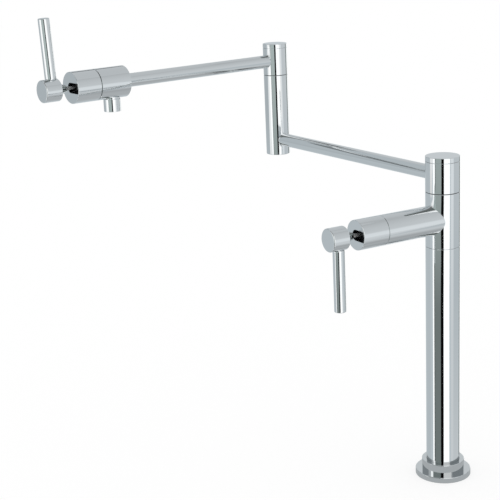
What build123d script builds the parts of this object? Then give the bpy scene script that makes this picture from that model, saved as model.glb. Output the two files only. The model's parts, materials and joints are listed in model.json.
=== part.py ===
from build123d import *
import os
from math import cos, radians, sin

os.makedirs("parts", exist_ok=True)

# All lengths are in millimetres and all angles in degrees.
# The origin is on the post's axis in the plane of the deck. +Z is up.
# The lower valve points along -Y, and azimuths are counted from +X towards +Y.

# Post and its sections, from the deck up
post_d = 38.0
post_wall = 1.5
post_height = 273.4
valve_body_height = 61.7
head_height = 34.1
post_cap_height = 5.8

# Deck flange and its collar
flange_d = 63.0
flange_thickness = 6.4
collar_d = 48.4
collar_height = 12.0
collar_round = 0.4
flange_ledge = 5.0
flange_foot_round = 0.4
flange_edge_round = 0.6

# Fixing under the deck
deck_thickness = 30.0
shank_d = 20.96
shank_bore_d = 15.0
shank_depth = 62.0
shank_engagement = 14.5
shank_chamfer = 1.0
supply_thread_length = 12.5
thread_relief_width = 1.5
thread_relief_depth = 0.9
deck_washer_d = 52.0
rubber_washer_thickness = 3.0
steel_washer_thickness = 1.5
lock_nut_flats = 32.0
lock_nut_height = 12.0
lock_nut_chamfer = 1.6
gasket_outer_d = 58.0
gasket_inner_d = 46.0
gasket_thickness = 2.0

# Foot of the post, and the riser tube inside the post
foot_height = 30.0
foot_round = 0.8
riser_d = 12.0
riser_wall = 1.0
riser_socket_depth = 12.0
riser_passage_d = 10.0
body_spigot_length = 14.0
body_passage_d = 11.2
channel_margin = 0.5

# Arms
arm_d = 15.9
arm_wall = 1.2
arm_spindle_gap = 1.3
arm_end_past_wall = 0.5
lower_arm_azimuth = 183.4
lower_arm_reach = 315.7
lower_arm_rise = 18.3
upper_arm_azimuth = 277.05
upper_arm_rise = 17.5

# Elbow
elbow_d = 30.3
elbow_wall = 2.0
elbow_drop = 19.3
elbow_tube_length = 101.9
elbow_head_height = 34.0
elbow_cap_height = 5.4
elbow_plug_inset = 0.6
elbow_plug_thickness = 8.0
elbow_plug_wall = 1.5
elbow_plug_round = 0.5

# Lower valve
lower_valve_rise = 30.9
lower_sleeve_wall = 2.45
lower_valve_seam = 83.7
lower_sleeve_length = 32.7

# Outlet body, its valve and its nozzle
outlet_sleeve_wall = 4.2
outlet_start = 226.4
outlet_seam = 266.1
outlet_seam_gap = 0.6
outlet_sleeve_length = 31.0
arm_socket_depth = 10.0
nozzle_reach = 243.9
nozzle_d = 19.8
nozzle_drop = 33.2
nozzle_mouth_round = 0.3
nozzle_top_round = 0.4
nozzle_bore_d = 12.6
nozzle_neck_d = 16.4
nozzle_socket_depth = 7.5
nozzle_end_gap = 1.0
nozzle_seat_depth = 0.55
nozzle_seat_gap = 0.8
nozzle_seat_margin = 0.5
outlet_chamber_d = 12.0
aerator_d = 17.2
aerator_height = 7.9
aerator_recess = 0.8
aerator_plate = 2.0
aerator_round = 0.3
aerator_wall_taper = 0.5
aerator_hole_d = 1.6
aerator_rows = ((1, 0.0), (6, 3.0), (12, 6.0))
aerator_washer_thickness = 1.0
aerator_washer_bore_d = 13.0

# Swivel spindles: the post spindle, then the elbow spindle
post_spindle_d = 26.0
post_spindle_bore_d = 12.0
elbow_spindle_d = 20.0
elbow_spindle_bore_d = 10.0
spindle_thread_depth = 12.0
spindle_tip_round = 0.6
cross_bore_step = 1.0
waterway_depth = 3.5
waterway_margin = 1.15
oring_section = 2.1
oring_groove_width = 2.4
oring_proud = 0.02
head_counterbore_depth = 2.6
head_counterbore_wall = 2.1
top_washer_thickness = 0.8
top_washer_rim = 1.3
retaining_ring_thickness = 1.0
retaining_ring_rim = 1.1
retaining_ring_depth = 1.1
retaining_ring_gap = 5.0
spindle_over_ring = 1.2
elbow_spindle_foot = 22.0
slip_washer_thickness = 0.6
slip_washer_inset = 0.5
cap_top_thickness = 2.4
cap_skirt_wall = 1.2
cap_skirt_depth = 2.2

# Valve sleeve and slot; depths in a valve are counted inwards from a plane this far outside its seam
valve_front = 31.0
sleeve_face_thickness = 2.5
slot_width = 12.0
slot_depth = 6.0
slot_lip = 0.9
nose_front_depth = 12.0
nose_wall = 1.52

# Cartridge
cartridge_d = 24.8
cartridge_shoulder = 1.9
cartridge_disc_wall = 1.0
cartridge_head_depth = 7.5
cartridge_shoulder_depth = 18.8
cartridge_base_depth = 30.4
cartridge_length_depth = 38.0
cartridge_round = 1.0
nut_front_depth = 12.4
nut_slot_width = 3.0
nut_slot_depth = 1.5
pivot_depth = 12.0
ball_d = 10.0
pivot_pin_d = 2.5
pivot_pin_inset = 0.4
stem_d = 4.4
stem_end_depth = -30.0
tail_d = 3.0
tail_tip_d = 3.6
tail_length = 9.0
mouth_low = 2.0
mouth_low_r = 3.7
mouth_top_r = 4.8
tail_slot_width = 4.4
chamber_depth = 19.2
carrier_depth = 19.4
carrier_height = 5.0
carrier_pocket = 4.0
carrier_pocket_width = 4.2
disc_d = 13.8
disc_thickness = 3.0
port_d = 3.6
port_side = 3.6
port_spread = 3.2
pocket_width = 3.0
pocket_spread = 3.5
pocket_depth = 1.5
port_seal_d = 6.0
port_seal_thickness = 1.2
lever_travel = 25.0

# Hub and lever rod
hub_d = 25.7
hub_length = 20.5
hub_gap = 16.6
hub_round = 1.2
neck_tip_gap = 6.9
neck_tip_d = 8.8
neck_tip_round = 0.6
neck_root_d = 13.2
lever_inset = 7.4
lever_d = 13.0
lever_length = 69.0
lever_seat_radius = 11.9
lever_root_round = 1.8
lever_tip_round = 0.9
lever_stud_d = 6.0
lever_stud_length = 7.2
lever_stud_round = 0.5
lower_lever_lean = 0.4
outlet_lever_lean = 2.5
set_screw_d = 4.0
set_screw_length = 6.5
set_screw_chamfer = 0.8
set_screw_socket_flats = 2.0
set_screw_socket_depth = 2.5

# Clearances and edges
pin_gap = 0.01
seat_gap = 0.05
slide_gap = 0.08
loose_gap = 0.3
socket_gap = 0.15
seam_gap = 0.2
seam_chamfer = 0.25
rim_round = 0.6

# Places worked out from the sizes above
post_r = post_d / 2
post_bore_r = post_r - post_wall
valve_body_top = post_height + valve_body_height
head_top = valve_body_top + head_height
lower_valve_z = post_height + lower_valve_rise
lower_arm_z = valve_body_top + lower_arm_rise
elbow_bottom = lower_arm_z - elbow_drop
elbow_seam = elbow_bottom + elbow_tube_length
elbow_head_top = elbow_seam + elbow_head_height
upper_arm_z = elbow_seam + upper_arm_rise
cartridge_head_d = cartridge_d - 2 * cartridge_shoulder
fixed_disc_d = cartridge_d - 2 * cartridge_disc_wall
nose_d = cartridge_d + 2 * (slide_gap + nose_wall)
sleeve_bore_d = nose_d + 2 * seat_gap
lower_valve_d = sleeve_bore_d + 2 * lower_sleeve_wall
outlet_d = sleeve_bore_d + 2 * outlet_sleeve_wall
lower_front_reach = lower_valve_seam + valve_front
outlet_front_reach = outlet_seam + valve_front
fixed_disc_depth = cartridge_base_depth - disc_thickness
moving_disc_depth = carrier_depth + carrier_height
disc_slide = tail_length * sin(radians(lever_travel))
head_bottom = valve_body_top + slip_washer_thickness / 2 + seat_gap
elbow_head_bottom = elbow_seam + slip_washer_thickness / 2 + seat_gap
nozzle_seat_z = upper_arm_z - outlet_d / 2 + nozzle_seat_depth
foot_oring_z = flange_ledge + foot_height - riser_socket_depth / 2
body_oring_z = post_height - body_spigot_length + riser_socket_depth / 2
post_thread_r = post_spindle_d / 2 - oring_section
hub_middle = hub_gap + hub_length / 2
rubber_washer_top = -deck_thickness
steel_washer_top = rubber_washer_top - rubber_washer_thickness
lock_nut_top = steel_washer_top - steel_washer_thickness

# Frames: each arm points along -Y in its own frame, and +Y goes into a valve from its front.
lower_frame = Rot(0, 0, lower_arm_azimuth - 270)
elbow_x = lower_arm_reach * cos(radians(lower_arm_azimuth))
elbow_y = lower_arm_reach * sin(radians(lower_arm_azimuth))
elbow_place = Pos(elbow_x, elbow_y, 0)
upper_frame = elbow_place * Rot(0, 0, upper_arm_azimuth - 270)
lower_valve_frame = Pos(0, -lower_front_reach, lower_valve_z)
outlet_valve_frame = upper_frame * Pos(0, -outlet_front_reach, upper_arm_z)
into_valve = Rot(-90, 0, 0)


def turned(*corners):
    """Solid of revolution about Z. A corner is (radius, height) or (radius, height, rounding)."""
    points = [(corner[0], corner[1]) for corner in corners]
    roundings = [corner[2] if len(corner) > 2 else 0 for corner in corners]
    outline = FilletPolyline(*points, radius=roundings, close=True)
    return revolve(Plane.XZ * make_face(outline), Axis.Z)


def span(radius, low, high):
    """Solid cylinder about Z between two heights."""
    return Pos(0, 0, (low + high) / 2) * Cylinder(radius, high - low)


def ring(outer, inner, low, high):
    """Flat ring about Z between two heights."""
    return span(outer, low, high) - span(inner, low, high)


def bar(radius, start, end, x=0.0, z=0.0):
    """Solid cylinder parallel to -Y, from one distance out to another."""
    return Pos(x, -(start + end) / 2, z) * Rot(90, 0, 0) * Cylinder(radius, end - start)


def bored(radius, near, far, x=0.0, z=0.0):
    """Solid cylinder parallel to +Y between two depths in a valve's frame."""
    return bar(radius, -far, -near, x, z)


def runway(radius, x_low, x_high, near, far):
    """Round-ended bar along X between two depths in a valve's frame."""
    middle = Pos((x_low + x_high) / 2, (near + far) / 2, 0) * Box(x_high - x_low, far - near, 2 * radius)
    return middle + bored(radius, near, far, x_low) + bored(radius, near, far, x_high)


def oring(middle_radius, height):
    """Rubber ring about Z, given the radius to the middle of its section."""
    return Pos(0, 0, height) * Torus(middle_radius, oring_section / 2)


def deck_flange():
    ledge_r = shank_d / 2 + loose_gap
    collar_top = flange_thickness + collar_height
    post_hole_r = post_r + socket_gap
    body = turned(
        (ledge_r, 0),
        (flange_d / 2, 0, flange_foot_round),
        (flange_d / 2, flange_thickness, flange_edge_round),
        (collar_d / 2, flange_thickness),
        (collar_d / 2, collar_top, collar_round),
        (post_hole_r, collar_top),
        (post_hole_r, flange_ledge),
        (ledge_r, flange_ledge),
    )
    groove = ring(gasket_outer_d / 2 + seat_gap, gasket_inner_d / 2 - seat_gap, 0, gasket_thickness)
    return body - groove


def deck_gasket():
    return ring(gasket_outer_d / 2, gasket_inner_d / 2, 0, gasket_thickness)


def threaded_shank():
    """Shank through the deck. A relief parts the supply thread at its foot from the nut's thread."""
    outer = shank_d / 2
    inner = shank_bore_d / 2
    top = flange_ledge + shank_engagement
    relief_low = -shank_depth + shank_chamfer + supply_thread_length
    body = turned(
        (inner, -shank_depth),
        (outer - shank_chamfer, -shank_depth),
        (outer, -shank_depth + shank_chamfer),
        (outer, top - shank_chamfer),
        (outer - shank_chamfer, top),
        (inner, top),
    )
    return body - ring(shank_d, outer - thread_relief_depth, relief_low, relief_low + thread_relief_width)


def under_deck_washer(thickness, top):
    return ring(deck_washer_d / 2, shank_d / 2 + socket_gap, top - thickness, top)


def lock_nut(top):
    bottom = top - lock_nut_height
    prism = Pos(0, 0, bottom) * extrude(
        RegularPolygon(lock_nut_flats / 2, 6, major_radius=False), lock_nut_height
    )
    corner_r = lock_nut_flats / 2 / cos(radians(30))
    rounding = turned(
        (0, bottom),
        (corner_r - lock_nut_chamfer, bottom),
        (corner_r, bottom + lock_nut_chamfer / 2),
        (corner_r, top - lock_nut_chamfer / 2),
        (corner_r - lock_nut_chamfer, top),
        (0, top),
    )
    return (prism & rounding) - span(shank_d / 2 + seat_gap, bottom, top)


def oring_seat(height):
    """Groove for a riser O-ring in the wall of a riser socket."""
    return span(riser_d / 2 + oring_section, height - oring_groove_width / 2, height + oring_groove_width / 2)


def post_foot():
    low = flange_ledge
    top = low + foot_height
    body = turned(
        (0, low),
        (post_bore_r - seat_gap, low),
        (post_bore_r - seat_gap, top, foot_round),
        (0, top),
    )
    body -= span(shank_d / 2 + seat_gap, low, low + shank_engagement)
    body -= span(riser_passage_d / 2, low, top)
    body -= span(riser_d / 2 + seat_gap, top - riser_socket_depth, top)
    return body - oring_seat(foot_oring_z)


def post_tube():
    top = post_height - seam_gap / 2
    return turned(
        (post_bore_r, flange_ledge),
        (post_r, flange_ledge),
        (post_r, top - seam_chamfer),
        (post_r - seam_chamfer, top),
        (post_bore_r, top),
    )


def riser_tube():
    low = flange_ledge + foot_height - riser_socket_depth
    high = post_height - body_spigot_length + riser_socket_depth
    return ring(riser_d / 2, riser_d / 2 - riser_wall, low, high)


def riser_orings():
    middle = riser_d / 2 + oring_section / 2
    return [oring(middle, foot_oring_z), oring(middle, body_oring_z)]


def valve_nose(gap):
    """Round nose of a valve body that the sleeve screws onto, in the valve's frame. gap is the seam's width."""
    return bored(nose_d / 2, nose_front_depth, valve_front + gap)


def valve_cavity():
    """Room for the cartridge in a valve body, in the valve's frame."""
    return bored(cartridge_d / 2 + slide_gap, nose_front_depth, cartridge_length_depth)


def port_channel(side, length):
    """Channel from a cartridge port into the body. Side is +1 for the upper port and -1 for the lower."""
    start = cartridge_length_depth
    return bored(port_d / 2, start, start + length, -port_side, side * port_spread)


def valve_body():
    bottom = post_height + seam_gap / 2
    top = valve_body_top - slip_washer_thickness / 2
    body = turned(
        (0, bottom),
        (post_r - seam_chamfer, bottom),
        (post_r, bottom + seam_chamfer),
        (post_r, top - seam_chamfer),
        (post_r - seam_chamfer, top),
        (0, top),
    )
    body += span(post_bore_r - seat_gap, post_height - body_spigot_length, bottom)
    branch = turned(
        (0, 0),
        (lower_valve_d / 2, 0),
        (lower_valve_d / 2, lower_valve_seam - seam_gap / 2 - seam_chamfer),
        (lower_valve_d / 2 - seam_chamfer, lower_valve_seam - seam_gap / 2),
        (0, lower_valve_seam - seam_gap / 2),
    )
    body += Pos(0, 0, lower_valve_z) * Rot(90, 0, 0) * branch
    body += lower_valve_frame * valve_nose(seam_gap)
    body -= lower_valve_frame * valve_cavity()
    channel = lower_front_reach - cartridge_length_depth
    body -= lower_valve_frame * port_channel(-1, channel)
    body -= lower_valve_frame * port_channel(1, channel)
    inlet_top = lower_valve_z - port_spread + port_d / 2 + channel_margin
    outlet_low = lower_valve_z + port_spread - port_d / 2 - channel_margin
    body -= span(body_passage_d / 2, post_height - body_spigot_length, inlet_top)
    body -= span(body_passage_d / 2, outlet_low, top)
    socket_low = post_height - body_spigot_length
    body -= span(riser_d / 2 + seat_gap, socket_low, socket_low + riser_socket_depth)
    body -= oring_seat(body_oring_z)
    return body - span(post_thread_r + seat_gap, top - spindle_thread_depth, top)


def swivel_levels(bottom, arm_z, top):
    """Heights of a spindle's waterway, its O-rings and the floor of the head's counterbore."""
    waterway_half = arm_d / 2 - arm_wall + waterway_margin
    floor = top - seam_gap / 2 - head_counterbore_depth
    low = arm_z - waterway_half
    high = arm_z + waterway_half
    return {
        "low": low,
        "high": high,
        "floor": floor,
        "orings": ((bottom + low) / 2, (high + floor) / 2),
    }


def spindle(outer_d, bore_d, foot, bottom, levels, arm_z):
    """Hollow spindle that a swivelling section turns on. foot is the solid below the swivel seam."""
    outer = outer_d / 2
    ring_low = levels["floor"] + seat_gap + top_washer_thickness + seat_gap
    top = ring_low + retaining_ring_thickness + spindle_over_ring
    body = foot + turned((0, bottom), (outer, bottom), (outer, top, spindle_tip_round), (0, top))
    body -= ring(outer_d, outer - waterway_depth, levels["low"], levels["high"])
    for height in levels["orings"]:
        low = height - oring_groove_width / 2
        body -= ring(outer_d, outer - oring_section, low, low + oring_groove_width)
    body -= ring(outer_d, outer - retaining_ring_depth, ring_low, ring_low + retaining_ring_thickness)
    cross = Rot(0, 90, 0) * Cylinder(bore_d / 2 - cross_bore_step, 2 * outer_d)
    body -= Pos(0, 0, arm_z) * (cross + Rot(0, 0, 90) * cross)
    low_end = foot.bounding_box().min.Z
    return body - span(bore_d / 2, low_end, arm_z)


def spindle_orings(outer_d, levels):
    middle = outer_d / 2 - oring_section / 2 + oring_proud
    return [oring(middle, height) for height in levels["orings"]]


def slip_washer(outer, inner_d, seam):
    """Thin washer in a swivel seam, set in a little from the outside."""
    half = slip_washer_thickness / 2
    return ring(outer - slip_washer_inset, inner_d / 2 + seat_gap, seam - half, seam + half)


def top_washer(spindle_d, levels):
    low = levels["floor"] + seat_gap
    return ring(spindle_d / 2 + top_washer_rim, spindle_d / 2 + seat_gap, low, low + top_washer_thickness)


def retaining_ring(spindle_d, levels):
    low = levels["floor"] + top_washer_thickness + 2 * seat_gap
    outer = spindle_d / 2 + retaining_ring_rim
    body = ring(outer, spindle_d / 2 - retaining_ring_depth + seat_gap, low, low + retaining_ring_thickness)
    opening = Pos(outer, 0, low) * Box(outer, retaining_ring_gap, 4 * retaining_ring_thickness)
    return body - opening


def swivel_section(outer, bore_d, bottom, top, levels):
    """Outer section that turns on a spindle, open at the top for its cap."""
    bore = bore_d / 2 + slide_gap
    rim = top - seam_gap / 2
    mouth = outer - head_counterbore_wall
    return turned(
        (bore, bottom),
        (outer - seam_chamfer, bottom),
        (outer, bottom + seam_chamfer),
        (outer, rim - seam_chamfer),
        (outer - seam_chamfer, rim),
        (mouth, rim),
        (mouth, levels["floor"]),
        (bore, levels["floor"]),
    )


def swivel_cap(outer, bottom, height):
    low = bottom + seam_gap / 2
    top = bottom + height
    skirt = outer - head_counterbore_wall - seat_gap
    cavity_top = top - cap_top_thickness
    return turned(
        (0, cavity_top),
        (skirt - cap_skirt_wall, cavity_top),
        (skirt - cap_skirt_wall, low - cap_skirt_depth),
        (skirt, low - cap_skirt_depth),
        (skirt, low),
        (outer - seam_chamfer, low),
        (outer, low + seam_chamfer),
        (outer, top, rim_round),
        (0, top),
    )


def arm_tube(start, end, height):
    return bar(arm_d / 2, start, end, z=height) - bar(arm_d / 2 - arm_wall, start, end, z=height)


def arm_hole(reach, height):
    """Hole through a section's wall where an arm tube is brazed in."""
    return bar(arm_d / 2 + seat_gap, 0, reach, z=height)


def post_spindle():
    top = valve_body_top - slip_washer_thickness / 2
    foot = span(post_thread_r, top - spindle_thread_depth, head_bottom)
    return spindle(post_spindle_d, post_spindle_bore_d, foot, top, post_levels, lower_arm_z)


def swivel_head():
    body = swivel_section(post_r, post_spindle_d, head_bottom, head_top, post_levels)
    return lower_frame * (body - arm_hole(post_d, lower_arm_z))


def lower_arm_tube():
    start = post_spindle_d / 2 + arm_spindle_gap
    end = lower_arm_reach - (elbow_d / 2 - elbow_wall - arm_end_past_wall)
    return lower_frame * arm_tube(start, end, lower_arm_z)


def elbow_lower_tube():
    outer = elbow_d / 2
    top = elbow_seam - slip_washer_thickness / 2
    body = turned(
        (outer - elbow_wall, elbow_bottom),
        (outer, elbow_bottom, rim_round),
        (outer, top - seam_chamfer),
        (outer - seam_chamfer, top),
        (outer - elbow_wall, top),
    )
    hole = Rot(0, 0, lower_arm_azimuth - 90) * arm_hole(elbow_d, lower_arm_z)
    return elbow_place * (body - hole)


def elbow_bottom_plug():
    low = elbow_bottom + elbow_plug_inset
    outer = elbow_d / 2 - elbow_wall - seat_gap
    body = turned(
        (0, low),
        (outer, low, elbow_plug_round),
        (outer, low + elbow_plug_thickness),
        (outer - elbow_plug_wall, low + elbow_plug_thickness),
        (outer - elbow_plug_wall, low + elbow_plug_thickness / 2),
        (0, low + elbow_plug_thickness / 2),
    )
    return elbow_place * body


def elbow_spindle():
    top = elbow_seam - slip_washer_thickness / 2
    foot = span(elbow_d / 2 - elbow_wall - seat_gap, top - elbow_spindle_foot, top)
    body = spindle(elbow_spindle_d, elbow_spindle_bore_d, foot, top, elbow_levels, upper_arm_z)
    return elbow_place * body


def elbow_upper_housing():
    body = swivel_section(elbow_d / 2, elbow_spindle_d, elbow_head_bottom, elbow_head_top, elbow_levels)
    return upper_frame * (body - arm_hole(elbow_d, upper_arm_z))


def upper_arm_tube():
    start = elbow_spindle_d / 2 + arm_spindle_gap
    return upper_frame * arm_tube(start, outlet_start + arm_socket_depth, upper_arm_z)


def outlet_body():
    seam = outlet_seam - (outlet_seam_gap - seam_gap / 2)
    outer = outlet_d / 2
    solid = turned(
        (0, outlet_start),
        (outer, outlet_start, rim_round),
        (outer, seam - seam_chamfer),
        (outer - seam_chamfer, seam),
        (0, seam),
    )
    body = Pos(0, 0, upper_arm_z) * Rot(90, 0, 0) * solid
    from_front = Pos(0, -outlet_front_reach, upper_arm_z)
    body += from_front * valve_nose(outlet_seam_gap)
    body -= from_front * valve_cavity()
    body -= bar(arm_d / 2 + seat_gap, outlet_start, outlet_start + arm_socket_depth, z=upper_arm_z)
    cavity_reach = outlet_front_reach - cartridge_length_depth
    body -= from_front * port_channel(1, cavity_reach - outlet_start - arm_socket_depth)
    body -= from_front * port_channel(-1, cavity_reach - nozzle_reach)
    over_nozzle = Pos(0, -nozzle_reach, 0)
    seat_r = nozzle_d / 2 + nozzle_seat_margin
    body -= over_nozzle * span(seat_r, nozzle_seat_z - nozzle_drop, nozzle_seat_z)
    socket_top = nozzle_seat_z + nozzle_socket_depth
    body -= over_nozzle * span(nozzle_neck_d / 2 + seat_gap, nozzle_seat_z, socket_top)
    chamber_top = upper_arm_z - port_spread + port_d / 2 + channel_margin
    body -= over_nozzle * span(outlet_chamber_d / 2, nozzle_seat_z, chamber_top)
    return upper_frame * body


def outlet_nozzle():
    low = upper_arm_z - nozzle_drop
    top = nozzle_seat_z - nozzle_seat_gap
    neck_top = nozzle_seat_z + nozzle_socket_depth - nozzle_end_gap
    outer = nozzle_d / 2
    neck = nozzle_neck_d / 2
    insert_top = low + aerator_recess + aerator_height + aerator_washer_thickness
    body = turned(
        (aerator_d / 2 + seat_gap, low),
        (outer, low, nozzle_mouth_round),
        (outer, top, nozzle_top_round),
        (neck, top),
        (neck, neck_top),
        (nozzle_bore_d / 2, neck_top),
        (nozzle_bore_d / 2, insert_top),
        (aerator_d / 2 + seat_gap, insert_top),
    )
    return upper_frame * Pos(0, -nozzle_reach, 0) * body


def aerator_insert():
    low = upper_arm_z - nozzle_drop + aerator_recess
    body = turned(
        (0, low),
        (aerator_d / 2, low, aerator_round),
        (aerator_d / 2, low + aerator_height),
        (aerator_washer_bore_d / 2, low + aerator_height),
        (aerator_washer_bore_d / 2 + aerator_wall_taper, low + aerator_plate),
        (0, low + aerator_plate),
    )
    for count, radius in aerator_rows:
        for place in PolarLocations(radius, count):
            body -= place * span(aerator_hole_d / 2, low, low + aerator_plate)
    return upper_frame * Pos(0, -nozzle_reach, 0) * body


def aerator_washer():
    low = upper_arm_z - nozzle_drop + aerator_recess + aerator_height
    body = ring(aerator_d / 2, aerator_washer_bore_d / 2, low, low + aerator_washer_thickness)
    return upper_frame * Pos(0, -nozzle_reach, 0) * body


def valve_sleeve(outer_d, length):
    """Slotted sleeve over a valve's cartridge. The slot runs from the middle to a thin lip at the +X rim."""
    outer = outer_d / 2
    face = valve_front - length
    end = length - seam_gap / 2
    body = turned(
        (0, 0),
        (outer, 0, rim_round),
        (outer, end - seam_chamfer),
        (outer - seam_chamfer, end),
        (sleeve_bore_d / 2, end),
        (sleeve_bore_d / 2, sleeve_face_thickness),
        (0, sleeve_face_thickness),
    )
    slot = runway(slot_width / 2, 0, outer_d, 0, slot_depth) & bored(outer - slot_lip, 0, slot_depth)
    return Pos(0, face, 0) * (into_valve * body - slot)


def cartridge_housing():
    body = turned(
        (0, cartridge_head_depth),
        (cartridge_head_d / 2, cartridge_head_depth, cartridge_round),
        (cartridge_head_d / 2, cartridge_shoulder_depth),
        (cartridge_d / 2, cartridge_shoulder_depth),
        (cartridge_d / 2, cartridge_base_depth),
        (0, cartridge_base_depth),
    )
    mouth_depth = pivot_depth - mouth_low
    mouth = turned(
        (0, cartridge_head_depth),
        (mouth_top_r, cartridge_head_depth),
        (mouth_low_r, mouth_depth),
        (0, mouth_depth),
    )
    body = into_valve * (body - mouth)
    body -= Pos(0, pivot_depth, 0) * Sphere(ball_d / 2 + socket_gap)
    tail_r = tail_slot_width / 2
    tail_swing = (chamber_depth - pivot_depth) * sin(radians(lever_travel)) + tail_d / 2
    body -= runway(tail_r, -tail_swing, 0, pivot_depth + ball_d / 4, chamber_depth)
    disc_r = disc_d / 2 + loose_gap
    body -= runway(disc_r, -disc_slide, 0, chamber_depth, fixed_disc_depth)
    body -= bored(fixed_disc_d / 2 + seat_gap, fixed_disc_depth, cartridge_base_depth)
    return body - Pos(0, pivot_depth, 0) * Cylinder(pivot_pin_d / 2 + pin_gap, cartridge_d)


def pivot_pin():
    length = cartridge_head_d - 2 * pivot_pin_inset
    return Pos(0, pivot_depth, 0) * Cylinder(pivot_pin_d / 2, length)


def cartridge_base():
    body = bored(cartridge_d / 2, cartridge_base_depth, cartridge_length_depth)
    for side in (-1, 1):
        z = side * port_spread
        body -= bored(port_d / 2, cartridge_base_depth, cartridge_length_depth, -port_side, z)
        seal_top = cartridge_length_depth - port_seal_thickness
        body -= bored(port_seal_d / 2, seal_top, cartridge_length_depth, -port_side, z)
    return body


def port_seals():
    seal_top = cartridge_length_depth - port_seal_thickness
    seals = []
    for side in (-1, 1):
        z = side * port_spread
        seal = bored(port_seal_d / 2 - seat_gap, seal_top, cartridge_length_depth, -port_side, z)
        seals.append(seal - bored(port_d / 2, seal_top, cartridge_length_depth, -port_side, z))
    return seals


def fixed_disc():
    body = bored(fixed_disc_d / 2, fixed_disc_depth, cartridge_base_depth)
    for side in (-1, 1):
        body -= bored(port_d / 2, fixed_disc_depth, cartridge_base_depth, -port_side, side * port_spread)
    return body


def moving_disc():
    low = moving_disc_depth
    high = fixed_disc_depth - seat_gap
    body = bored(disc_d / 2, low, high)
    pocket = runway(pocket_width / 2, -pocket_spread, pocket_spread, high - pocket_depth, high)
    return body - Rot(0, 90, 0) * pocket


def disc_carrier():
    body = bored(disc_d / 2, carrier_depth, moving_disc_depth)
    pocket = Box(carrier_pocket_width, carrier_pocket, carrier_pocket_width)
    return body - Pos(0, carrier_depth + carrier_pocket / 2, 0) * pocket


def cartridge_nut():
    body = ring(
        cartridge_d / 2, cartridge_head_d / 2 + seat_gap, nut_front_depth, cartridge_shoulder_depth
    )
    notch = Box(2 * cartridge_d, nut_slot_width, 2 * nut_slot_depth)
    notches = notch + Rot(0, 0, 90) * notch
    return into_valve * (body - Pos(0, 0, nut_front_depth) * notches)


def stem():
    body = Pos(0, pivot_depth, 0) * Sphere(ball_d / 2)
    body += bored(stem_d / 2, stem_end_depth, pivot_depth)
    tip_depth = pivot_depth + tail_length
    body += bored(tail_d / 2, pivot_depth, tip_depth)
    body += Pos(0, tip_depth, 0) * Sphere(tail_tip_d / 2)
    return body - Pos(0, pivot_depth, 0) * Cylinder(pivot_pin_d / 2 + seat_gap, 2 * ball_d)


def hub(up, lean):
    """Handle hub with its conical neck. up is +1 where the lever points up and -1 where it points down."""
    bore = stem_d / 2 + seat_gap
    bore_end = stem_end_depth - loose_gap
    body = turned(
        (0, bore_end),
        (bore, bore_end),
        (bore, -neck_tip_gap),
        (neck_tip_d / 2, -neck_tip_gap, neck_tip_round),
        (neck_root_d / 2, -hub_gap),
        (hub_d / 2, -hub_gap, hub_round),
        (hub_d / 2, -hub_gap - hub_length, hub_round),
        (0, -hub_gap - hub_length),
    )
    body = into_valve * body
    seat = span(lever_d / 2 + socket_gap, lever_seat_radius, hub_d)
    stud_end = lever_seat_radius - lever_stud_length - loose_gap
    hole = span(lever_stud_d / 2 + seat_gap, stud_end, lever_seat_radius)
    body -= lever_frame(up, lean) * (seat + hole)
    screw_hole = Rot(0, -90, 0) * span(set_screw_d / 2 + seat_gap, stem_d / 2, hub_d)
    return body - Pos(0, -hub_middle, 0) * screw_hole


def lever_frame(up, lean):
    """Frame with +Z along the lever. A lean tips the top of the lever outwards."""
    flip = 0 if up > 0 else 180
    return Pos(0, -hub_gap - lever_inset, 0) * Rot(lean, 0, 0) * Rot(0, flip, 0)


def lever_rod(up, lean):
    stud_low = lever_seat_radius - lever_stud_length
    body = turned(
        (0, stud_low),
        (lever_stud_d / 2, stud_low, lever_stud_round),
        (lever_stud_d / 2, lever_seat_radius),
        (lever_d / 2, lever_seat_radius, lever_root_round),
        (lever_d / 2, lever_seat_radius + lever_length, lever_tip_round),
        (0, lever_seat_radius + lever_length),
    )
    return lever_frame(up, lean) * body


def set_screw():
    start = stem_d / 2 + seat_gap
    end = start + set_screw_length
    outer = set_screw_d / 2
    body = turned(
        (0, start),
        (outer - set_screw_chamfer, start),
        (outer, start + set_screw_chamfer),
        (outer, end),
        (0, end),
    )
    hexagon = RegularPolygon(set_screw_socket_flats / 2, 6, major_radius=False)
    body -= Pos(0, 0, end - set_screw_socket_depth) * extrude(hexagon, set_screw_socket_depth)
    return Pos(0, -hub_middle, 0) * Rot(0, -90, 0) * body


def valve_pieces(prefix, frame, outer_d, sleeve_length, up, lean):
    """Every piece of one valve, by name, placed in its frame."""
    pieces = {
        "sleeve": valve_sleeve(outer_d, sleeve_length),
        "cartridge_housing": cartridge_housing(),
        "cartridge_base": cartridge_base(),
        "cartridge_nut": cartridge_nut(),
        "pivot_pin": pivot_pin(),
        "fixed_disc": fixed_disc(),
        "port_seals": port_seals(),
        "moving_disc": moving_disc(),
        "disc_carrier": disc_carrier(),
        "stem": stem(),
        "hub": hub(up, lean),
        "lever": lever_rod(up, lean),
        "set_screw": set_screw(),
    }
    return {f"{prefix}_{name}": placed(frame, shape) for name, shape in pieces.items()}


def placed(frame, shape):
    if isinstance(shape, list):
        return [frame * piece for piece in shape]
    return frame * shape


post_levels = swivel_levels(head_bottom, lower_arm_z, head_top)
elbow_levels = swivel_levels(elbow_head_bottom, upper_arm_z, elbow_head_top)

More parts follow.
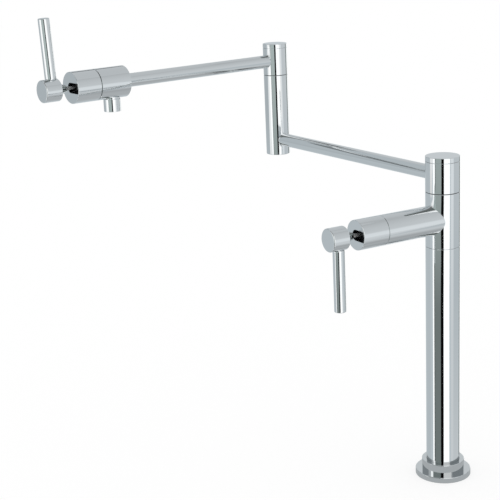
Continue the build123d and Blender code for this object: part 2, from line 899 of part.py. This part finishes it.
nodes = {
    "deck_flange": deck_flange(),
    "deck_gasket": deck_gasket(),
    "threaded_shank": threaded_shank(),
    "under_deck_rubber_washer": under_deck_washer(rubber_washer_thickness, rubber_washer_top),
    "under_deck_steel_washer": under_deck_washer(steel_washer_thickness, steel_washer_top),
    "lock_nut": lock_nut(lock_nut_top),
    "post_foot": post_foot(),
    "post_tube": post_tube(),
    "riser_tube": riser_tube(),
    "riser_orings": riser_orings(),
    "valve_body": valve_body(),
    "post_spindle": post_spindle(),
    "post_spindle_orings": spindle_orings(post_spindle_d, post_levels),
    "post_slip_washer": slip_washer(post_r, post_spindle_d, valve_body_top),
    "post_top_washer": top_washer(post_spindle_d, post_levels),
    "post_retaining_ring": retaining_ring(post_spindle_d, post_levels),
    "swivel_head": swivel_head(),
    "post_cap": swivel_cap(post_r, head_top, post_cap_height),
    "lower_arm_tube": lower_arm_tube(),
    "elbow_lower_tube": elbow_lower_tube(),
    "elbow_bottom_plug": elbow_bottom_plug(),
    "elbow_spindle": elbow_spindle(),
    "elbow_spindle_orings": placed(elbow_place, spindle_orings(elbow_spindle_d, elbow_levels)),
    "elbow_slip_washer": elbow_place * slip_washer(elbow_d / 2, elbow_spindle_d, elbow_seam),
    "elbow_top_washer": elbow_place * top_washer(elbow_spindle_d, elbow_levels),
    "elbow_retaining_ring": elbow_place * retaining_ring(elbow_spindle_d, elbow_levels),
    "elbow_upper_housing": elbow_upper_housing(),
    "elbow_cap": elbow_place * swivel_cap(elbow_d / 2, elbow_head_top, elbow_cap_height),
    "upper_arm_tube": upper_arm_tube(),
    "outlet_body": outlet_body(),
    "outlet_nozzle": outlet_nozzle(),
    "aerator_insert": aerator_insert(),
    "aerator_washer": aerator_washer(),
}
nodes |= valve_pieces("lower", lower_valve_frame, lower_valve_d, lower_sleeve_length, -1, lower_lever_lean)
nodes |= valve_pieces("outlet", outlet_valve_frame, outlet_d, outlet_sleeve_length, 1, outlet_lever_lean)

for name, shape in nodes.items():
    if isinstance(shape, list):
        shape = Compound(children=shape)
    export_step(shape, f"parts/{name}.step")
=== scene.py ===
import json
from math import cos, pi, radians, sin

import bpy
from mathutils import Matrix, Vector


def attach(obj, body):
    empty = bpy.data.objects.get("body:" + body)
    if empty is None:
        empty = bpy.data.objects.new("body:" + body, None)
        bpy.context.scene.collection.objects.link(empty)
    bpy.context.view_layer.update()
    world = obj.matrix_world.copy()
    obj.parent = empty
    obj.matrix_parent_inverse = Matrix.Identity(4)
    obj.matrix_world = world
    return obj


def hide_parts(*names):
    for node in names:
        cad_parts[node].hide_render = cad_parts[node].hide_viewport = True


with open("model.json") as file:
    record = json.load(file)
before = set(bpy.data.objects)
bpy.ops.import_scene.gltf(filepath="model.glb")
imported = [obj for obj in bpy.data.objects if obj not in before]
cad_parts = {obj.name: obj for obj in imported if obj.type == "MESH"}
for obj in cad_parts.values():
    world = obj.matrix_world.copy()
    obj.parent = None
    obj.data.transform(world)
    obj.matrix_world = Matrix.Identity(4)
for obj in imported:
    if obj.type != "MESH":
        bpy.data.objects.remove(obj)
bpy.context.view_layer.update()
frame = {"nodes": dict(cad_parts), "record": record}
scene = bpy.context.scene
nodes = frame["nodes"]

# Camera: the photograph's viewpoint in the part's frame, in metres and degrees, with the lens in millimetres

CAMERA_PLACE = (1.0922, -0.8655, 0.6525)
CAMERA_AZIMUTH = 150.435
CAMERA_PITCH = 15.2384
CAMERA_ROLL = -2.4144
CAMERA_LENS = 92.64
SENSOR_WIDTH = 36.0
CLIP_START = 0.01
CLIP_END = 50


def add_camera():
    azimuth, pitch, roll = radians(CAMERA_AZIMUTH), radians(CAMERA_PITCH), radians(CAMERA_ROLL)
    forward = Vector((cos(azimuth) * cos(pitch), sin(azimuth) * cos(pitch), -sin(pitch)))
    level = Vector((sin(azimuth), -cos(azimuth), 0))
    above = level.cross(forward)
    right = cos(roll) * level + sin(roll) * above
    up = cos(roll) * above - sin(roll) * level
    data = bpy.data.cameras.new("camera")
    data.lens = CAMERA_LENS
    data.sensor_width = SENSOR_WIDTH
    data.clip_start = CLIP_START
    data.clip_end = CLIP_END
    camera = bpy.data.objects.new("camera", data)
    turn = Matrix((right, up, -forward)).transposed()
    camera.matrix_world = Matrix.Translation(CAMERA_PLACE) @ turn.to_4x4()
    scene.collection.objects.link(camera)
    scene.camera = camera


# Shader parts

def new_material(name):
    material = bpy.data.materials.new(name)
    material.use_nodes = True
    tree = material.node_tree
    tree.nodes.clear()
    out = tree.nodes.new("ShaderNodeOutputMaterial")
    shader = tree.nodes.new("ShaderNodeBsdfPrincipled")
    tree.links.new(shader.outputs["BSDF"], out.inputs["Surface"])
    return material, tree, shader


def noise(tree, scale, detail, roughness=0.5, stretch=(1, 1, 1)):
    place = tree.nodes.new("ShaderNodeTexCoord")
    mapping = tree.nodes.new("ShaderNodeMapping")
    mapping.inputs["Scale"].default_value = stretch
    texture = tree.nodes.new("ShaderNodeTexNoise")
    texture.inputs["Scale"].default_value = scale
    texture.inputs["Detail"].default_value = detail
    texture.inputs["Roughness"].default_value = roughness
    tree.links.new(place.outputs["Object"], mapping.inputs["Vector"])
    tree.links.new(mapping.outputs["Vector"], texture.inputs["Vector"])
    return texture.outputs["Fac"]


def remap(tree, value, old, new):
    """The value, with the old range (low, high) stretched to the new one."""
    node = tree.nodes.new("ShaderNodeMapRange")
    node.inputs["From Min"].default_value, node.inputs["From Max"].default_value = old
    node.inputs["To Min"].default_value, node.inputs["To Max"].default_value = new
    tree.links.new(value, node.inputs["Value"])
    return node.outputs["Result"]


def blend_colours(tree, factor, first, second):
    node = tree.nodes.new("ShaderNodeMix")
    node.data_type = "RGBA"
    node.inputs["A"].default_value = (*first, 1)
    node.inputs["B"].default_value = (*second, 1)
    tree.links.new(factor, node.inputs["Factor"])
    return node.outputs["Result"]


def mix_shaders(tree, share, first, second):
    """Put a mix of two shaders on the material's output in place of what was there."""
    mixed = tree.nodes.new("ShaderNodeMixShader")
    tree.links.new(share, mixed.inputs["Fac"])
    tree.links.new(first, mixed.inputs[1])
    tree.links.new(second, mixed.inputs[2])
    out = next(node for node in tree.nodes if node.type == "OUTPUT_MATERIAL")
    tree.links.new(mixed.outputs["Shader"], out.inputs["Surface"])


def bump(tree, shader, height, distance):
    node = tree.nodes.new("ShaderNodeBump")
    node.inputs["Strength"].default_value = 1.0
    node.inputs["Distance"].default_value = distance
    tree.links.new(height, node.inputs["Height"])
    tree.links.new(node.outputs["Normal"], shader.inputs["Normal"])


# Materials: noise scales are per metre and bump heights in metres. A mottle and a patch of gloss are so many
# grains in size.

NOISE_MIDDLE = (0.3, 0.7)
SMEAR_MIDDLE = (0.3, 0.75)
CHROME_COLOURS = ((0.80, 0.815, 0.825), (0.825, 0.838, 0.842))
CHROME_ROUGHNESS = (0.03, 0.065)
CHROME_WAVE_HEIGHT = 0.000004
RING_STRETCH = (0.2, 0.2, 30)
RING_SHARE = 0.35
RING_HEIGHT = 0.000012
MOTTLE_SIZE = 8
GLOSS_PATCH_SIZE = 5


def chrome():
    """Bright plated chrome: faint cloudiness, soft smears and a trace of polishing waviness."""
    material, tree, shader = new_material("polished_chrome")
    shader.inputs["Metallic"].default_value = 1.0
    clouds = noise(tree, scale=18, detail=2)
    smears = noise(tree, scale=60, detail=4, roughness=0.6)
    waves = noise(tree, scale=220, detail=2)
    tree.links.new(blend_colours(tree, clouds, *CHROME_COLOURS), shader.inputs["Base Color"])
    tree.links.new(remap(tree, smears, SMEAR_MIDDLE, CHROME_ROUGHNESS), shader.inputs["Roughness"])
    bump(tree, shader, waves, CHROME_WAVE_HEIGHT)
    return material


def turned_metal(name, first, second, rough):
    """Bare metal from the lathe: fine level rings, with light staining over them."""
    material, tree, shader = new_material(name)
    shader.inputs["Metallic"].default_value = 1.0
    rings = noise(tree, scale=90, detail=3, roughness=0.6, stretch=RING_STRETCH)
    stains = noise(tree, scale=45, detail=4, roughness=0.6)
    both = tree.nodes.new("ShaderNodeMath")
    both.operation = "MULTIPLY_ADD"
    both.inputs[1].default_value = RING_SHARE
    tree.links.new(rings, both.inputs[0])
    tree.links.new(remap(tree, stains, NOISE_MIDDLE, (0, 1 - RING_SHARE)), both.inputs[2])
    tree.links.new(blend_colours(tree, both.outputs["Value"], first, second), shader.inputs["Base Color"])
    tree.links.new(remap(tree, rings, NOISE_MIDDLE, rough), shader.inputs["Roughness"])
    bump(tree, shader, rings, RING_HEIGHT)
    return material


def moulded(name, first, second, rough, grain, height):
    """Moulded or pressed stuff: mottled colour, patchy gloss and a fine surface grain."""
    material, tree, shader = new_material(name)
    mottle = noise(tree, scale=grain / MOTTLE_SIZE, detail=4)
    patches = noise(tree, scale=grain / GLOSS_PATCH_SIZE, detail=3)
    grains = noise(tree, scale=grain, detail=3, roughness=0.6)
    tree.links.new(blend_colours(tree, mottle, first, second), shader.inputs["Base Color"])
    tree.links.new(remap(tree, patches, NOISE_MIDDLE, rough), shader.inputs["Roughness"])
    bump(tree, shader, grains, height)
    return material


finishes = {
    "chrome": chrome(),
    "raw_brass": turned_metal("machined_brass", (0.62, 0.45, 0.20), (0.80, 0.62, 0.33), rough=(0.22, 0.42)),
    "steel": turned_metal("turned_steel", (0.50, 0.50, 0.50), (0.68, 0.68, 0.67), rough=(0.2, 0.38)),
    "rubber": moulded("moulded_rubber", (0.016, 0.016, 0.016), (0.04, 0.04, 0.038),
                      rough=(0.55, 0.85), grain=1600, height=0.00003),
    "dark_plastic": moulded("dark_plastic", (0.018, 0.018, 0.02), (0.036, 0.036, 0.04),
                            rough=(0.35, 0.6), grain=2200, height=0.00001),
    "grey_plastic": moulded("grey_plastic", (0.48, 0.49, 0.50), (0.60, 0.61, 0.62),
                            rough=(0.35, 0.55), grain=2200, height=0.00001),
    "ceramic": moulded("lapped_ceramic", (0.82, 0.81, 0.77), (0.91, 0.90, 0.87),
                       rough=(0.08, 0.2), grain=1200, height=0.000003),
}

# The stems show in the slots, which are partly a dull grey in the photograph, so they look ground, not turned
ground_steel = turned_metal("ground_steel", (0.44, 0.44, 0.44), (0.60, 0.60, 0.59), rough=(0.5, 0.68))
own_finish = {"lower_stem": ground_steel, "outlet_stem": ground_steel}

for part in frame["record"]["subparts"]:
    mesh = nodes[part["node"]].data
    mesh.materials.clear()
    mesh.materials.append(own_finish.get(part["node"], finishes[part["material_slot"]]))


# Meshes made from rings and rows of points

def ring_point(radius, angle, height):
    return radius * cos(angle), radius * sin(angle), height


def grid_faces(rows, columns, rows_close=False, columns_close=False):
    """Four-sided faces between rows of points. What closes has its last row or column joined to the first."""
    faces = []
    for j in range(rows if rows_close else rows - 1):
        low, high = j * columns, (j + 1) % rows * columns
        for i in range(columns if columns_close else columns - 1):
            k = (i + 1) % columns
            faces.append((low + i, low + k, high + k, high + i))
    return faces


def add_mesh(name, points, faces):
    mesh = bpy.data.meshes.new(name)
    mesh.from_pydata(points, [], faces)
    thing = bpy.data.objects.new(name, mesh)
    scene.collection.objects.link(thing)
    return thing


# Pipe thread on the shank, in millimetres. The frame's shank is a plain cylinder with the same ends and bore.
# The relief is a little deeper than the thread, and so deeper than the plain shank's.

MM_PER_METRE = 1000
THREAD_PITCH = 1.814
THREAD_DEPTH = 1.16
FLANK_STEEPNESS = 1.35
SHANK_R = 10.48
SHANK_BORE_R = 7.5
SHANK_LOW = -62.0
SHANK_TOP = 19.5
SHANK_CHAMFER = 1.0
RELIEF_LOW = -48.5
RELIEF_HIGH = -47.0
RELIEF_R = 9.3
ROWS_PER_PITCH = 8
SHARP_ANGLE = 40


def shank_rows():
    """(height, largest radius) up the shank. Each edge of the relief has both of its radii."""
    count = round((SHANK_TOP - SHANK_LOW) / (THREAD_PITCH / ROWS_PER_PITCH))
    heights = [SHANK_LOW + (SHANK_TOP - SHANK_LOW) * i / count for i in range(count + 1)]
    heights += [SHANK_LOW + SHANK_CHAMFER, SHANK_TOP - SHANK_CHAMFER, RELIEF_LOW, RELIEF_HIGH]
    rows = []
    for height in sorted(heights):
        limit = SHANK_R - SHANK_CHAMFER + min(SHANK_CHAMFER, height - SHANK_LOW, SHANK_TOP - height)
        if height <= RELIEF_LOW or height >= RELIEF_HIGH:
            rows.append((height, limit))
        if RELIEF_LOW <= height < RELIEF_HIGH:
            rows.append((height, RELIEF_R))
        if height == RELIEF_HIGH:
            rows.insert(-1, (height, RELIEF_R))
    return rows


def thread_radius(height, turn):
    """Radius of the thread at a height and a share of a turn, with a flat crest and root and soft edges."""
    along = (height / THREAD_PITCH - turn) % 1
    slope = (1 - abs(2 * along - 1)) * FLANK_STEEPNESS - (FLANK_STEEPNESS - 1) / 2
    rise = min(1, max(0, slope))
    return SHANK_R - THREAD_DEPTH * (1 - rise * rise * (3 - 2 * rise))


def threaded_shank(steps=48):
    """Visible shank with its thread, relief, chamfers and bore, in place of the plain one."""
    rows = shank_rows()
    points = []
    for height, limit in rows:
        for i in range(steps):
            radius = min(limit, thread_radius(height, i / steps))
            points.append(ring_point(radius, 2 * pi * i / steps, height))
    for height in (SHANK_TOP, SHANK_LOW):
        points += [ring_point(SHANK_BORE_R, 2 * pi * i / steps, height) for i in range(steps)]
    points = [tuple(part / MM_PER_METRE for part in point) for point in points]
    faces = grid_faces(len(rows) + 2, steps, rows_close=True, columns_close=True)
    shank = add_mesh("shank_thread", points, faces)
    shank.data.shade_smooth()
    shank.data.set_sharp_from_angle(angle=radians(SHARP_ANGLE))
    shank.data.materials.append(finishes["raw_brass"])
    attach(shank, "post")
    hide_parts("threaded_shank")


threaded_shank()


# Studio: a white world and floor, and glowing pieces round the tap that only reflections see. Lengths are in
# metres. Turns are in degrees off the direction from the post to the camera, towards the photograph's right.

CAMERA_SIDE = 321.6
COOL_GREY = (0.95, 1.0, 1.03)
BLUE_GREY = (0.91, 1.0, 1.05)
GREEN_GREY = (0.87, 1.0, 0.98)
WHITE = (0.99, 1.0, 1.0)
DOME_RADIUS = 3.0
FLOOR_REACH = 6.0
FLOOR_WHITE_SHARE = 0.72
FLOOR_DISC_RADIUS = 0.062
FLOOR_DISC_HEIGHT = 0.0002
SHADE_HEIGHT = 0.25
SHADE_INNER = 0.35
SHADE_OUTER = 0.95


def stage_point(radius, turn, height):
    return ring_point(radius, radians(CAMERA_SIDE + turn), height)


def emitter(name, levels, tint):
    """Glow that changes with height. Levels are (height, brightness, own tint if any), lowest first."""
    material = bpy.data.materials.new(name)
    material.use_nodes = True
    material.cycles.emission_sampling = "NONE"
    tree = material.node_tree
    tree.nodes.clear()
    out = tree.nodes.new("ShaderNodeOutputMaterial")
    glow = tree.nodes.new("ShaderNodeEmission")
    place = tree.nodes.new("ShaderNodeTexCoord")
    split = tree.nodes.new("ShaderNodeSeparateXYZ")
    tree.links.new(place.outputs["Object"], split.inputs["Vector"])
    low, high = levels[0][0], levels[-1][0]
    ramp = tree.nodes.new("ShaderNodeValToRGB")
    stops = ramp.color_ramp.elements
    while len(stops) < len(levels):
        stops.new(1.0)
    for stop, (height, level, *own) in zip(stops, levels):
        stop.position = (height - low) / (high - low)
        stop.color = (*(level * part for part in (own[0] if own else tint)), 1)
    tree.links.new(remap(tree, split.outputs["Z"], (low, high), (0, 1)), ramp.inputs["Fac"])
    tree.links.new(ramp.outputs["Color"], glow.inputs["Color"])
    tree.links.new(glow.outputs["Emission"], out.inputs["Surface"])
    return material


def even(level):
    """Levels of a glow that is the same at every height."""
    return [(0.0, level), (1.0, level)]


def add_reflected(name, points, faces, material):
    """Stage piece that only reflections see."""
    thing = add_mesh(name, points, faces)
    thing.data.materials.append(material)
    thing.visible_camera = False
    thing.visible_diffuse = False
    thing.visible_shadow = False
    thing.visible_volume_scatter = False


def sky(levels, steps=64, rows=32):
    """Grey dome behind the cards."""
    points = []
    for j in range(rows + 1):
        tilt = pi * (j / rows - 0.5)
        for i in range(steps):
            points.append(ring_point(DOME_RADIUS * cos(tilt), 2 * pi * i / steps, DOME_RADIUS * sin(tilt)))
    faces = grid_faces(rows + 1, steps, columns_close=True)
    add_reflected("studio_dome", points, faces, emitter("studio_dome", levels, COOL_GREY))


def floor_disc(level, steps=64):
    """Grey disc on the floor round the flange, a glow that only reflections see, so the chrome shows a grey
    floor there.
    """
    points = [ring_point(FLOOR_DISC_RADIUS, 2 * pi * i / steps, FLOOR_DISC_HEIGHT) for i in range(steps)]
    add_reflected("floor_card", points, [tuple(range(steps))], emitter("floor_card", even(level), COOL_GREY))


def card(name, radius, tint, edges, levels, steps=24):
    """Curved card round the post. Each edge is (height, start turn, end turn), lowest first."""
    points = []
    for height, start, end in edges:
        for i in range(steps + 1):
            points.append(stage_point(radius, start + (end - start) * i / steps, height))
    add_reflected(name, points, grid_faces(len(edges), steps + 1), emitter(name, levels, tint))


def band(name, radius, tint, edges, level):
    """Slanting strip in front of a card. Each edge is (turn, low height, high height)."""
    points = [stage_point(radius, turn, low) for turn, low, high in edges]
    points += [stage_point(radius, turn, high) for turn, low, high in edges]
    add_reflected(name, points, grid_faces(2, len(edges)), emitter(name, even(level), tint))


def flange_shade(name, tint, start, end, level, steps=16):
    """Level sector over the flange that glows on its underside only, so only what is below it sees it."""
    points = []
    for i in range(steps + 1):
        turn = start + (end - start) * i / steps
        points.append(stage_point(SHADE_INNER, turn, SHADE_HEIGHT))
        points.append(stage_point(SHADE_OUTER, turn, SHADE_HEIGHT))
    material = emitter(name, even(level), tint)
    tree = material.node_tree
    glow = next(node for node in tree.nodes if node.type == "EMISSION")
    clear = tree.nodes.new("ShaderNodeBsdfTransparent")
    side = tree.nodes.new("ShaderNodeNewGeometry")
    mix_shaders(tree, side.outputs["Backfacing"], clear.outputs["BSDF"], glow.outputs["Emission"])
    add_reflected(name, points, grid_faces(steps + 1, 2), material)


def larger(tree, first, second):
    node = tree.nodes.new("ShaderNodeMath")
    node.operation = "MAXIMUM"
    tree.links.new(first, node.inputs[0])
    tree.links.new(second, node.inputs[1])
    return node.outputs["Value"]


def add_floor():
    """White floor with a faint shadow. Reflections don't see it: they see the cards go on below it."""
    low, high = -FLOOR_REACH, FLOOR_REACH
    corners = [(low, low, 0), (high, low, 0), (high, high, 0), (low, high, 0)]
    floor = add_mesh("floor", corners, [(0, 1, 2, 3)])
    material, tree, shader = new_material("floor")
    shader.inputs["Base Color"].default_value = (1, 1, 1, 1)
    shader.inputs["Roughness"].default_value = 1.0
    shader.inputs["Specular IOR Level"].default_value = 0.0
    rays = tree.nodes.new("ShaderNodeLightPath").outputs
    white = tree.nodes.new("ShaderNodeEmission")
    through = larger(tree, rays["Is Camera Ray"], rays["Is Transmission Ray"])
    background = larger(tree, through, rays["Is Glossy Ray"])
    share = remap(tree, background, (0, 1), (0, FLOOR_WHITE_SHARE))
    mix_shaders(tree, share, shader.outputs["BSDF"], white.outputs["Emission"])
    floor.data.materials.append(material)
    floor.visible_glossy = False


def add_world():
    world = bpy.data.worlds.new("world")
    world.use_nodes = True
    world.node_tree.nodes["Background"].inputs["Color"].default_value = (1, 1, 1, 1)
    world.node_tree.nodes["Background"].inputs["Strength"].default_value = 1.0
    scene.world = world


add_camera()
add_world()
add_floor()
sky([(-3.0, 0.45), (-2.4, 0.5), (-1.5, 0.62, BLUE_GREY), (0.6, 0.62, BLUE_GREY), (1.0, 0.66), (1.8, 0.6),
     (3.0, 0.58)])
floor_disc(0.46)

# From the far left towards the camera: grey with two dark strips in front, then pale, white and dark cards

card("card_left_behind", 1.5, BLUE_GREY,
     edges=[(-2.0, -150, -90), (2.2, -150, -90)],
     levels=[(-2.0, 0.5), (-0.9, 0.56), (-0.2, 0.58), (0.08, 0.56), (0.2, 0.5), (0.5, 0.54), (2.2, 0.55)])
band("band_left_near", 1.47, BLUE_GREY,
     edges=[(-95, 0.4, 0.6), (-101, 0.62, 0.84), (-109, 0.87, 1.06), (-124, 1.19, 1.27)], level=0.22)
band("band_left_far", 1.47, BLUE_GREY,
     edges=[(-133, 1.26, 1.38), (-139, 1.2, 1.42), (-146, 1.1, 1.42), (-156, 0.94, 1.22)], level=0.1)
card("card_left_pale", 1.45, WHITE,
     edges=[(0.0, -90, -74), (0.12, -90, -66), (0.3, -83, -66), (3.2, -83, -66)],
     levels=[(0.0, 0.8), (0.12, 1.0), (0.7, 1.0), (0.95, 0.25), (3.2, 0.2)])
card("card_left", 1.4, WHITE,
     edges=[(-1.5, -70, -60), (-0.12, -70, -59), (0.05, -66, -51.5), (0.3, -72, -48), (3.2, -72, -48)],
     levels=[(-1.5, 1.25), (0.75, 1.25), (0.95, 0.22), (3.2, 0.18)])
card("card_dark", 1.38, GREEN_GREY,
     edges=[(-1.5, -60, -12), (-0.12, -59, -12), (0.05, -51.5, -6), (3.2, -51.5, -6)],
     levels=[(-1.5, 0.2), (-0.24, 0.21), (-0.1, 0.33), (0.3, 0.54), (0.8, 0.54), (1.1, 0.2), (3.2, 0.15)])
card("card_dark_edge", 1.37, GREEN_GREY,
     edges=[(-1.5, -60, -54.5), (-0.12, -59, -53.5), (0.05, -51.5, -46), (0.8, -51.5, -46)],
     levels=[(-1.5, 0.08), (-0.24, 0.09), (0.05, 0.22), (0.3, 0.34), (0.8, 0.5)])

# From the camera round to the far right: black, white, pale and two greys, with a low dark strip in front

card("card_black", 1.3, WHITE,
     edges=[(-1.5, -13.5, 5.6), (-0.2, -13.5, 5.6), (0.05, -8, 9), (2.2, -8, 9)],
     levels=[(-1.5, 0.002), (0.6, 0.004), (0.72, 0.5), (2.2, 0.5)])
card("card_right", 1.35, WHITE,
     edges=[(-1.5, 3, 45), (-0.2, 3, 45), (0.05, 6, 49.5), (2.2, 6, 49.5)],
     levels=[(-1.5, 1.25), (2.2, 1.25)])
card("card_side_pale", 1.39, WHITE,
     edges=[(0.1, 49, 64), (0.6, 49, 64)],
     levels=[(0.1, 0.95), (0.3, 0.95), (0.6, 0.7)])
card("card_side", 1.4, COOL_GREY,
     edges=[(-1.5, 56, 75), (-0.3, 56, 75), (-0.1, 56, 78), (0.3, 56, 78), (0.45, 57, 75), (2.2, 57, 75)],
     levels=[(-1.5, 0.68), (-0.3, 0.7), (0.05, 0.84), (0.4, 0.82), (0.6, 0.66), (2.2, 0.55)])
card("card_right_behind", 1.46, COOL_GREY,
     edges=[(-2.4, 75, 160), (3.4, 75, 160)],
     levels=[(-2.4, 0.5), (-1.4, 0.43), (-0.74, 0.66), (-0.2, 0.56, BLUE_GREY), (0.4, 0.68), (2.3, 0.56),
             (2.8, 0.47)])
band("band_right_low", 1.44, BLUE_GREY,
     edges=[(108, -1.3, -1.18), (130, -1.62, -1.42), (150, -1.67, -1.36), (162, -1.46, -1.12)], level=0.04)

# Behind the tap: dark, black and white, which give it stripes in the views from behind

card("card_back_dark", 1.42, GREEN_GREY,
     edges=[(-0.8, 138, 149), (0.42, 138, 149)],
     levels=[(-0.8, 0.26), (0.42, 0.4)])
card("card_back_black", 1.4, WHITE,
     edges=[(-0.8, 148, 157), (0.42, 148, 157)],
     levels=[(-0.8, 0.003), (0.42, 0.006)])
card("card_back_white", 1.42, WHITE,
     edges=[(-0.8, 157, 178), (0.42, 157, 178)],
     levels=[(-0.8, 1.2), (0.42, 1.2)])

# Sectors over the flange, from the left round to the right: (name, tint, end turn, brightness)

SHADES_START = -150
SHADES = [
    ("shade_left_far", BLUE_GREY, -84, 0.28),
    ("shade_left_mid", COOL_GREY, -68, 0.5),
    ("shade_left", WHITE, -54, 1.2),
    ("shade_dark", GREEN_GREY, -12, 0.23),
    ("shade_black", WHITE, 4, 0.003),
    ("shade_right", WHITE, 46, 0.77),
    ("shade_side", COOL_GREY, 52, 0.4),
    ("shade_right_far", BLUE_GREY, 150, 0.26),
]
start = SHADES_START
for name, tint, end, level in SHADES:
    flange_shade(name, tint, start, end, level)
    start = end

scene.view_settings.view_transform = "Standard"
